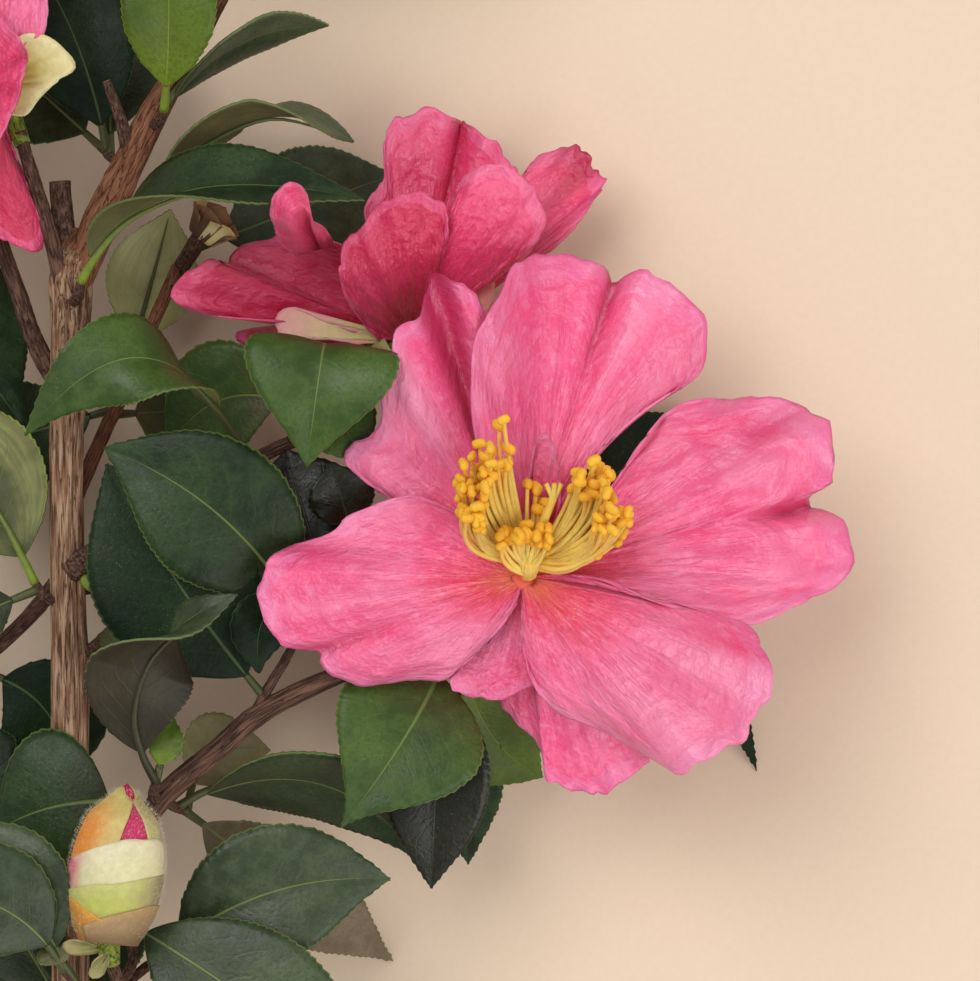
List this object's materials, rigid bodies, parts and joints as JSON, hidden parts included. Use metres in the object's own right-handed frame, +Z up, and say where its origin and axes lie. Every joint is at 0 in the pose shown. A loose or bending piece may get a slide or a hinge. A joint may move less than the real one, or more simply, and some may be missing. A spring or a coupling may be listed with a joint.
{
  "type": "cut flowering camellia branch",
  "caption": "Cut camellia branch lying on its side: forked woody stem, twisted boughs, sprays of glossy pointed leaves, open ruffled blooms with golden stamens and a plump bud.",
  "frame": {"origin": "centre of the underside of the branch's box, on the surface it lies on", "axes": "+Y along the main stem from its cut end to the shoot tip, +Z up from the surface, +X to the side the open bloom leans to"},
  "size_m": [0.1654, 0.2258, 0.0553],
  "materials": {
    "bark": "fibrous light brown bark",
    "twig_bark": "thin reddish brown bark",
    "leaf": "glossy dark green leaf",
    "petal": "soft satin pink petal",
    "stamen": "golden yellow, matte",
    "bud_scale": "downy cream and orange scales"
  },
  "bodies": {
    "root": {"main_stem": "bark", "upper_bough": "twig_bark", "left_bough": "twig_bark", "back_bough": "twig_bark", "left_high_bough": "twig_bark", "left_low_bough": "twig_bark", "second_bloom_bough": "twig_bark", "bloom_bough": "twig_bark", "bud_bough": "twig_bark", "tip_leaves": "leaf", "upper_right_leaves": "leaf", "upper_left_leaves": "leaf", "fork_leaf": "leaf", "front_leaf": "leaf", "left_high_leaves": "leaf", "back_leaves": "leaf", "back_left_leaf": "leaf", "back_inner_leaves": "leaf", "middle_leaves": "leaf", "front_left_leaf": "leaf", "inner_leaves": "leaf", "lower_front_leaves": "leaf", "behind_bud_leaf": "leaf", "lower_back_leaves": "leaf", "bud_leaves": "leaf", "front_bud_leaf": "leaf", "right_bud_leaf": "leaf", "bottom_leaves": "leaf", "left_low_leaves": "leaf", "left_stem_leaves": "leaf", "right_stem_leaf": "leaf", "bloom_leaves": "leaf", "far_bloom_leaves": "leaf", "main_bloom": "petal", "second_bloom": "petal", "third_bloom": "petal", "main_stamens": "stamen", "flower_bud": "bud_scale", "spent_bud": "bud_scale"}
  },
  "joints": []
}
